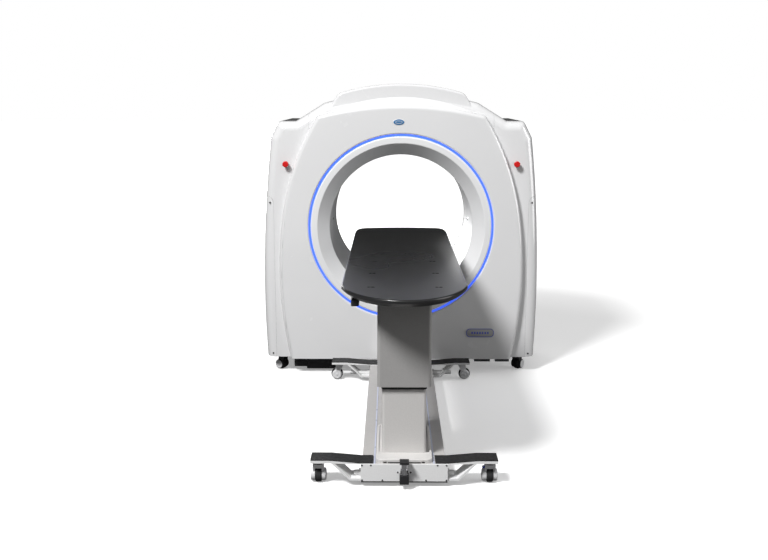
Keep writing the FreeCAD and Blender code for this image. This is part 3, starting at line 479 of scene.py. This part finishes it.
def add_bore_trim():
    """Gaskets where the trims meet the liner, and the laser windows in its wall."""
    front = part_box("front_bore_trim")[1].y
    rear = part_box("rear_bore_trim")[0].y
    gasket = [(LINER_R - 1.9 * MM, 0.0), (LINER_R - 1.9 * MM, 2.0 * MM),
              (LINER_R - 0.1 * MM, 3.2 * MM)]
    bm = bmesh.new()
    for y, way in ((front, 1.0), (rear, -1.0)):
        lathe(bm, gasket, Vector((0, y, BORE.z)), Y_AXIS * way, 160, end=False)
    piece("bore_gaskets", bm, "gasket", "gantry")
    rims, panes = bmesh.new(), bmesh.new()
    middle = (front + rear) / 2
    for degrees in (0.0, 90.0, 180.0):
        a = math.radians(degrees)
        out = Vector((math.cos(a), 0, math.sin(a)))
        at = Vector((0, middle, BORE.z)) + out * (LINER_R - 0.6 * MM)
        side = Y_AXIS.cross(out)
        plaque(rims, lambda i: rounded(*WINDOW_RIM, i), at, Y_AXIS, side, -out,
               1.6 * MM, 0.9 * MM)
        plaque(panes, lambda i: rounded(*WINDOW, i), at, Y_AXIS, side, -out, 2.1 * MM, 0.4 * MM)
    piece("laser_window_rims", rims, "trim", "gantry")
    piece("laser_windows", panes, "glass", "gantry")


# ---------------------------------------------------------------- castor trim
CASTORS = [side + place for side in ("gantry_", "table_")
           for place in ("front_left", "front_right", "rear_left", "rear_right")]
AXLE_END = 0.036                     # from the wheel's middle to the fork's outer face
GANTRY_SWIVEL_TOP, TABLE_SWIVEL_TOP = 0.11485, 0.11585
BRAKE_TAB, BRAKE_TAB_Z = (0.016, 0.012, 0.004), 0.086


def add_castor_trim(name):
    """Caps over the axle ends and black swivel collar of one castor."""
    pin = Vector(JOINTS[name + "_swivel"]["pos_m"])
    hub = Vector(JOINTS[name + "_roll"]["pos_m"])
    axle = Vector(JOINTS[name + "_roll"]["axis"]).normalized()
    fork_body = name + "_castor"
    bm = bmesh.new()
    for way in (-1.0, 1.0):
        at = hub + axle * way * AXLE_END
        lathe(bm, [(0.0278, 0.0), (0.0278, 0.6 * MM), (0.0262, 1.4 * MM), (0.0200, 1.6 * MM),
                   (0.0190, 0.9 * MM), (0.0110, 0.9 * MM), (0.0100, 1.8 * MM)], at, axle * way, 40)
        lathe(bm, [(0.0062, 1.2 * MM), (0.0062, 3.6 * MM), (0.0052, 4.4 * MM)], at, axle * way, 6)
    piece(name + "_caps", bm, "hood", fork_body)

    swivel_top = GANTRY_SWIVEL_TOP if name.startswith("gantry") else TABLE_SWIVEL_TOP
    top = Vector((pin.x, pin.y, swivel_top))
    bm = bmesh.new()
    lathe(bm, [(0.0255, -0.0142), (0.0258, -0.0125), (0.0309, -0.0025), (0.0313, -0.0012),
               (0.0300, -0.0002)], top, Z_AXIS, 48, end=False)
    piece(name + "_collar", bm, "black", fork_body)


def add_brake_tab():
    """Blue foot tab of the brake, inside the front right castor of the table."""
    pin = Vector(JOINTS["table_front_right_swivel"]["pos_m"])
    at = Vector((pin.x - 0.0255, pin.y - 0.004, BRAKE_TAB_Z))
    bm = bmesh.new()
    plaque(bm, lambda i: rounded(*BRAKE_TAB, i), at, Y_AXIS, Z_AXIS, -X_AXIS,
           13.0 * MM, 2.5 * MM)
    piece("brake_tab", bm, "tab", "table_front_right_castor")


# ---------------------------------------------------------------- table trim
SCREW_R = 4.2 * MM
SCREW_ROWS = ((0.1105, (0.203, 0.160)), (0.0350, (0.203, 0.105)), (0.0755, (0.0310,)))  # z, x's
BARREL_R = 0.0187
# Size and turns of the black patches that paint the shade in the barrel's slots.
BARREL_SLOT_SHADE, BARREL_SLOT_SHADE_TURNS = (0.008, 0.018, 0.003), (-145.0, -35.0)
PEDAL_RIB, PEDAL_RIBS, PEDAL_RIB_PITCH = (0.038, 0.0032, 0.0016), 6, 0.0075
COLUMN_CORNER_R = 0.0145
# Size of the black strip that paints the shadow under the carriage's nose.
CARRIAGE_SHADOW_STRIP = (0.160, 0.0048, 0.002)
FIXING_TOP = 0.001                   # a fixing's top points lie this near its highest one
FIXING_APART, FIXING_REACH = 0.016, 0.0135
HAND_KEY, HAND_KEY_PITCH = (0.011, 0.011, 0.003), 0.018


def add_end_screws():
    """Screws of the end plates, front and rear."""
    low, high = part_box("end_plates")
    bm = bmesh.new()
    for y, axis in ((low.y, -Y_AXIS), (high.y, Y_AXIS)):
        for z, places in SCREW_ROWS:
            for x in places:
                for way in (-1, 1):
                    screw(bm, Vector((way * x, y, z)), axis, SCREW_R)
    piece("end_plate_screws", bm, "screw_dark", "table_base")


def add_lock_trim():
    """Black patches on the floor lock's barrel, painted shade of its slots, and ribs on its pedal."""
    low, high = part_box("floor_lock_foot")
    x, y = (low.x + high.x) / 2, low.y + 0.030
    barrel_low, barrel_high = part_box("floor_lock_body")
    # Black patches on the barrel's sides: painted shade inside its slots.
    bm = bmesh.new()
    for degrees in BARREL_SLOT_SHADE_TURNS:
        a = math.radians(degrees)
        out = Vector((math.cos(a), math.sin(a), 0))
        at = Vector((x, y, (barrel_low.z + barrel_high.z) / 2)) + out * BARREL_R
        plaque(bm, lambda i: rounded(*BARREL_SLOT_SHADE, i), at, Z_AXIS.cross(out), Z_AXIS, out,
               0.5 * MM, 0.1 * MM)
    piece("lock_painted_slot_shade", bm, "gasket", "table_base")
    bm = bmesh.new()
    for k in range(PEDAL_RIBS):
        at = Vector((x, low.y + 0.006 + k * PEDAL_RIB_PITCH, high.z))
        plaque(bm, lambda i: rounded(*PEDAL_RIB, i), at, X_AXIS, Y_AXIS, Z_AXIS,
               0.9 * MM, 0.4 * MM)
    piece("pedal_ribs", bm, "tyre", "floor_lock_foot")


def add_column_trim():
    """Black band round the column under the sleeve and black strip at the foot of the carriage's nose,
    both painted shadow of the gaps there.
    """
    low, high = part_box("column_tube")
    shell_low = min(v.co.z for v in NODES["column_sleeve"].data.vertices if abs(v.co.x) > 0.1)
    middle = Vector(((low.x + high.x) / 2, (low.y + high.y) / 2, 0))
    width, depth = high.x - low.x, high.y - low.y
    # Black band just under the sleeve's lower edge: painted shadow of the gap between sleeve and
    # column.
    bm = bmesh.new()
    rings = []
    for grow, z in ((0.0006, -0.0165), (0.0030, -0.0165), (0.0036, -0.0155), (0.0036, 0.0),
                    (0.0006, 0.0)):
        outline = rounded(width + 2 * grow, depth + 2 * grow, COLUMN_CORNER_R + grow)
        rings.append(placed(outline, middle, X_AXIS, Y_AXIS, Z_AXIS, shell_low + z))
    loft(bm, rings + rings[:1], end=False)
    piece("column_painted_shadow_band", bm, "gasket", "carriage")

    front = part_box("carriage")[0].y
    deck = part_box("base_beam")[1].z
    # Black strip at the foot of the carriage's nose: painted shadow of the gap under its front edge.
    bm = bmesh.new()
    at = Vector((0, front + 0.001, deck + 0.0055))
    plaque(bm, lambda i: rounded(*CARRIAGE_SHADOW_STRIP, i), at, X_AXIS, Z_AXIS, -Y_AXIS,
           3.2 * MM, 1.0 * MM)
    piece("carriage_painted_shadow_strip", bm, "gasket", "carriage")


def add_socket_shade_rings():
    """Black rings round the fixings on the tabletop, painted shade of their sockets."""
    lowest_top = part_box("tabletop_fixings")[1].z - FIXING_TOP
    upper = [v.co for v in NODES["tabletop_fixings"].data.vertices if v.co.z > lowest_top]
    seeds = []
    for point in upper:
        if all((point - seed).length > FIXING_APART for seed in seeds):
            seeds.append(point.copy())
    tops = []
    for seed in seeds:
        near = [point for point in upper if (point - seed).length < FIXING_REACH]
        tops.append(sum(near, Vector()) / len(near))
    bm = bmesh.new()
    for top in tops:
        lathe(bm, [(0.0062, 0.0), (0.0064, 0.7 * MM), (0.0086, 0.7 * MM), (0.0090, 0.4 * MM)],
              top, Z_AXIS, 32, end=False)
    piece("socket_shade_rings", bm, "socket", "lift")


def add_hand_control_trim():
    """Keys on the underside of the hand control."""
    low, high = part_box("hand_control")
    bm = bmesh.new()
    for row in range(4):
        for x in (-0.008, 0.008):
            at = Vector(((low.x + high.x) / 2 + x, low.y + (row + 1) * HAND_KEY_PITCH, low.z))
            plaque(bm, lambda i: rounded(*HAND_KEY, i), at, X_AXIS, Y_AXIS, -Z_AXIS,
                   1.4 * MM, 0.6 * MM)
    piece("hand_control_keys", bm, "plate", "lift")


add_badge()
add_name_plate()
add_bore_trim()
for castor_name in CASTORS:
    add_castor_trim(castor_name)
add_brake_tab()
add_end_screws()
add_lock_trim()
add_column_trim()
add_socket_shade_rings()
add_hand_control_trim()


# ---------------------------------------------------------------- floor, light, camera
CAMERA_HEIGHT = 1.860
CAMERA_BEFORE_TABLE = 4.360      # in front of the front arms
CAMERA_SIDE = -0.064
CAMERA_PITCH = 10.965            # degrees below the horizon
CAMERA_YAW = 0.436               # degrees towards -X
LENS = 45.0
KEY_FROM = Vector((-4.10, -6.30, 7.95))      # from the foot of the gantry's face
KEY_SIZE = 2.3
KEY_POWER = 1210.0
SIDE_FROM = Vector((7.5, -1.5, 2.4))
SIDE_SIZE = 5.0
SIDE_POWER = 200.0
REAR_FROM = Vector((-3.2, 8.0, 1.3))
REAR_SIZE = 2.6
REAR_POWER = 340.0
FILL_FROM = (0.30, -0.40, 0.866)
FILL = (0.02, 0.42)               # away from that side and towards it
FILL_START = 0.3
FLOOR_GLOW = (0.30, 1.0)         # lifts the floor to white, more with distance
FLOOR_GLOW_REACH = (2.8, 7.0)    # where that lift starts and is full
FLOOR_BOUNCE = 0.14              # the floor's grey to everything but the camera
FLOOR_HALF = 60.0
AIM = Vector((0, 0, 1.0))


def make_camera():
    data = bpy.data.cameras.new("camera")
    data.lens = LENS
    data.sensor_width = 36.0
    data.clip_end = 200.0
    camera = bpy.data.objects.new("camera", data)
    arms_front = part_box("stabiliser_arms")[0].y
    camera.location = (CAMERA_SIDE, arms_front - CAMERA_BEFORE_TABLE, CAMERA_HEIGHT)
    camera.rotation_euler = (math.radians(90 - CAMERA_PITCH), 0, math.radians(CAMERA_YAW))
    bpy.context.scene.collection.objects.link(camera)
    bpy.context.scene.camera = camera


def make_floor():
    mesh = bpy.data.meshes.new("floor")
    h = FLOOR_HALF
    mesh.from_pydata([(-h, -h, 0), (h, -h, 0), (h, h, 0), (-h, h, 0)], [], [(0, 1, 2, 3)])
    floor = bpy.data.objects.new("floor", mesh)
    bpy.context.scene.collection.objects.link(floor)
    s = Shader("floor_white", (0.95, 0.95, 0.95), 0.9)
    s.bsdf.inputs["Specular IOR Level"].default_value = 0.0
    s.bsdf.inputs["Emission Color"].default_value = (1, 1, 1, 1)
    reach = s.node("ShaderNodeVectorMath", operation="LENGTH")
    s.link(s.coords, reach.inputs[0])
    s.link(s.remap(reach.outputs["Value"], *FLOOR_GLOW, *FLOOR_GLOW_REACH),
           s.bsdf.inputs["Emission Strength"])
    bounce = s.node("ShaderNodeBsdfDiffuse")
    bounce.inputs["Color"].default_value = (*(FLOOR_BOUNCE,) * 3, 1.0)
    path = s.node("ShaderNodeLightPath")
    mix = s.node("ShaderNodeMixShader")
    s.link(path.outputs["Is Camera Ray"], mix.inputs["Fac"])
    s.link(bounce.outputs["BSDF"], mix.inputs[1])
    s.link(s.bsdf.outputs["BSDF"], mix.inputs[2])
    s.link(mix.outputs["Shader"], s.tree.nodes["Material Output"].inputs["Surface"])
    mesh.materials.append(s.mat)


def soft_light(name, place, aim, size, power):
    lamp = bpy.data.lights.new(name, "AREA")
    lamp.shape = "DISK"
    lamp.size = size
    lamp.energy = power
    light = bpy.data.objects.new(name, lamp)
    light.location = place
    light.rotation_mode = "QUATERNION"
    light.rotation_quaternion = (aim - place).to_track_quat("-Z", "Y")
    bpy.context.scene.collection.objects.link(light)


def make_lights():
    foot = Vector((0, FACE_Y, 0))
    soft_light("key", foot + KEY_FROM, AIM, KEY_SIZE, KEY_POWER)
    soft_light("side", foot + SIDE_FROM, AIM, SIDE_SIZE, SIDE_POWER)
    soft_light("rear", foot + REAR_FROM, AIM, REAR_SIZE, REAR_POWER)

    world = bpy.data.worlds.new("studio")
    world.use_nodes = True
    tree = world.node_tree
    background = tree.nodes["Background"]
    sky = tree.nodes.new("ShaderNodeTexCoord")
    side = tree.nodes.new("ShaderNodeVectorMath")
    side.operation = "DOT_PRODUCT"
    side.inputs[1].default_value = FILL_FROM
    tree.links.new(sky.outputs["Generated"], side.inputs[0])
    fill = tree.nodes.new("ShaderNodeMapRange")
    fill.inputs["From Min"].default_value = FILL_START
    fill.inputs["To Min"].default_value, fill.inputs["To Max"].default_value = FILL
    tree.links.new(side.outputs["Value"], fill.inputs["Value"])
    path = tree.nodes.new("ShaderNodeLightPath")
    seen = tree.nodes.new("ShaderNodeMix")
    seen.data_type = "FLOAT"
    seen.inputs["B"].default_value = 1.0
    tree.links.new(fill.outputs["Result"], seen.inputs["A"])
    tree.links.new(path.outputs["Is Camera Ray"], seen.inputs["Factor"])
    tree.links.new(seen.outputs["Result"], background.inputs["Strength"])
    background.inputs["Color"].default_value = (1, 1, 1, 1)
    bpy.context.scene.world = world
    bpy.context.scene.view_settings.view_transform = "Standard"


make_camera()
make_floor()
make_lights()
